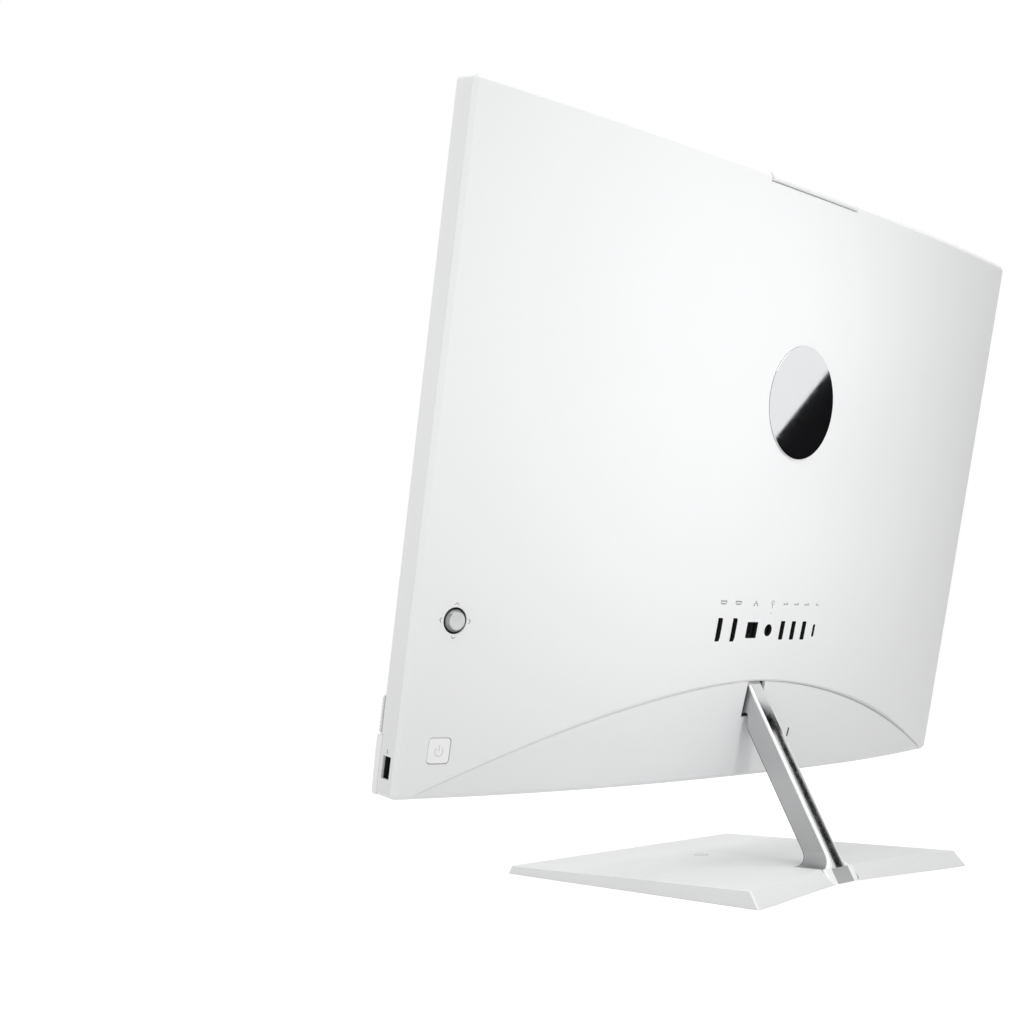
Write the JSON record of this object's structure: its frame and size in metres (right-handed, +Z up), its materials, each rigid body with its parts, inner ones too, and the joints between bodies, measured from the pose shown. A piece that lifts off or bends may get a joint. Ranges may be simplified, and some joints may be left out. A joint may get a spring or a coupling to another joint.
{
  "type": "all-in-one computer",
  "caption": "Desktop computer built into a thin wide display head with a domed white back, on a slanted metal bar neck and a flat wedge base; the head tilts and a camera pops up.",
  "frame": {"origin": "bottom centre of the box around the object, on the surface it stands on", "axes": "+Z up, +X to the right as the user sees the screen, +Y to the rear; the screen faces -Y"},
  "size_m": [0.611, 0.2049, 0.4669],
  "materials": {
    "white_shell": "satin white moulded plastic",
    "light_grey_plastic": "light grey moulded plastic",
    "black_plastic": "black moulded plastic",
    "screen_glass": "glossy black cover glass",
    "panel_glass": "dark display cell",
    "backlight": "light guide and reflector in a thin tray",
    "speaker_fabric": "pale grey speaker cloth",
    "satin_aluminium": "satin cast aluminium with polished rear face",
    "bright_chrome": "mirror chrome",
    "steel": "zinc plated steel",
    "copper": "bare copper",
    "circuit_board": "green laminate",
    "card_board": "blue laminate",
    "rubber_pad": "dark rubber"
  },
  "bodies": {
    "stand": {"neck": "satin_aluminium", "hinge_shaft": "steel", "base_plate": "white_shell", "weight_plate": "steel", "neck_screw_1": "steel", "neck_screw_2": "steel", "neck_screw_3": "steel", "foot_pad_front_left": "rubber_pad", "foot_pad_front_right": "rubber_pad", "foot_pad_rear_left": "rubber_pad", "foot_pad_rear_right": "rubber_pad"},
    "power_button": {"power_button": "white_shell"},
    "camera": {"camera_module": "white_shell", "camera_lens": "screen_glass"},
    "fan_rotor": {"fan_rotor": "black_plastic"},
    "stick_carriage": {"stick_carriage": "black_plastic"},
    "stick_ring": {"stick_ring": "steel"},
    "stick_knob": {"stick_knob": "bright_chrome"},
    "head": {"rear_cover": "white_shell", "lower_rear_cover": "white_shell", "front_frame": "light_grey_plastic", "display_glass": "screen_glass", "lcd_panel": "panel_glass", "backlight_tray": "backlight", "chin_cover": "white_shell", "speaker_baffle": "light_grey_plastic", "speaker_grille": "speaker_fabric", "speaker_left": "black_plastic", "speaker_right": "black_plastic", "chassis_plate": "steel", "mainboard": "circuit_board", "board_screw_1": "steel", "board_screw_2": "steel", "board_screw_3": "steel", "board_screw_4": "steel", "cpu_cold_plate": "copper", "heat_pipe": "copper", "heat_exchanger": "satin_aluminium", "fan_housing": "black_plastic", "memory_module_1": "circuit_board", "memory_module_2": "circuit_board", "solid_state_drive": "card_board", "wireless_card": "card_board", "video_socket_1": "steel", "video_socket_2": "steel", "usb_socket_1": "steel", "usb_socket_2": "steel", "usb_socket_3": "steel", "usb_c_socket": "steel", "network_socket": "black_plastic", "power_inlet": "black_plastic", "side_usb_socket": "steel", "hinge_bracket": "steel", "hinge_clutch_left": "steel", "hinge_clutch_right": "steel", "rear_badge": "bright_chrome", "button_board": "circuit_board", "stick_board": "circuit_board", "stick_housing": "black_plastic", "camera_guide": "light_grey_plastic"}
  },
  "joints": [
    {"name": "head_tilt", "type": "hinge", "parent": "stand", "child": "head", "pos_m": [0, 0.00146, 0.12219], "axis": [-1, 0, 0], "range_deg": [-14.8, 10.2]},
    {"name": "camera_slide", "type": "slide", "parent": "head", "child": "camera", "axis": [0, 0.1702, 0.9854], "range_m": [0, 0.022]},
    {"name": "power_button_press", "type": "slide", "parent": "head", "child": "power_button", "axis": [-0.1688, -0.9677, 0.1871], "range_m": [0, 0.0008], "stiffness_N_per_m": 1000, "springref_m": -0.0004},
    {"name": "fan_spin", "type": "hinge", "parent": "head", "child": "fan_rotor", "pos_m": [0.165, 0.01944, 0.29972], "axis": [0, 0.9854, -0.1702], "continuous": true},
    {"name": "stick_press", "type": "slide", "parent": "head", "child": "stick_carriage", "axis": [-0.2057, -0.9627, 0.176], "range_m": [0, 0.0004], "stiffness_N_per_m": 2000, "springref_m": -0.0003},
    {"name": "stick_up_down", "type": "hinge", "parent": "stick_carriage", "child": "stick_ring", "pos_m": [0.27758, -0.00545, 0.17263], "axis": [0.9786, -0.2027, 0.035], "range_deg": [-8, 8], "stiffness_Nm_per_rad": 0.04},
    {"name": "stick_left_right", "type": "hinge", "parent": "stick_ring", "child": "stick_knob", "pos_m": [0.27758, -0.00545, 0.17263], "axis": [0.002, 0.1794, 0.9838], "range_deg": [-8, 8], "stiffness_Nm_per_rad": 0.04}
  ]
}
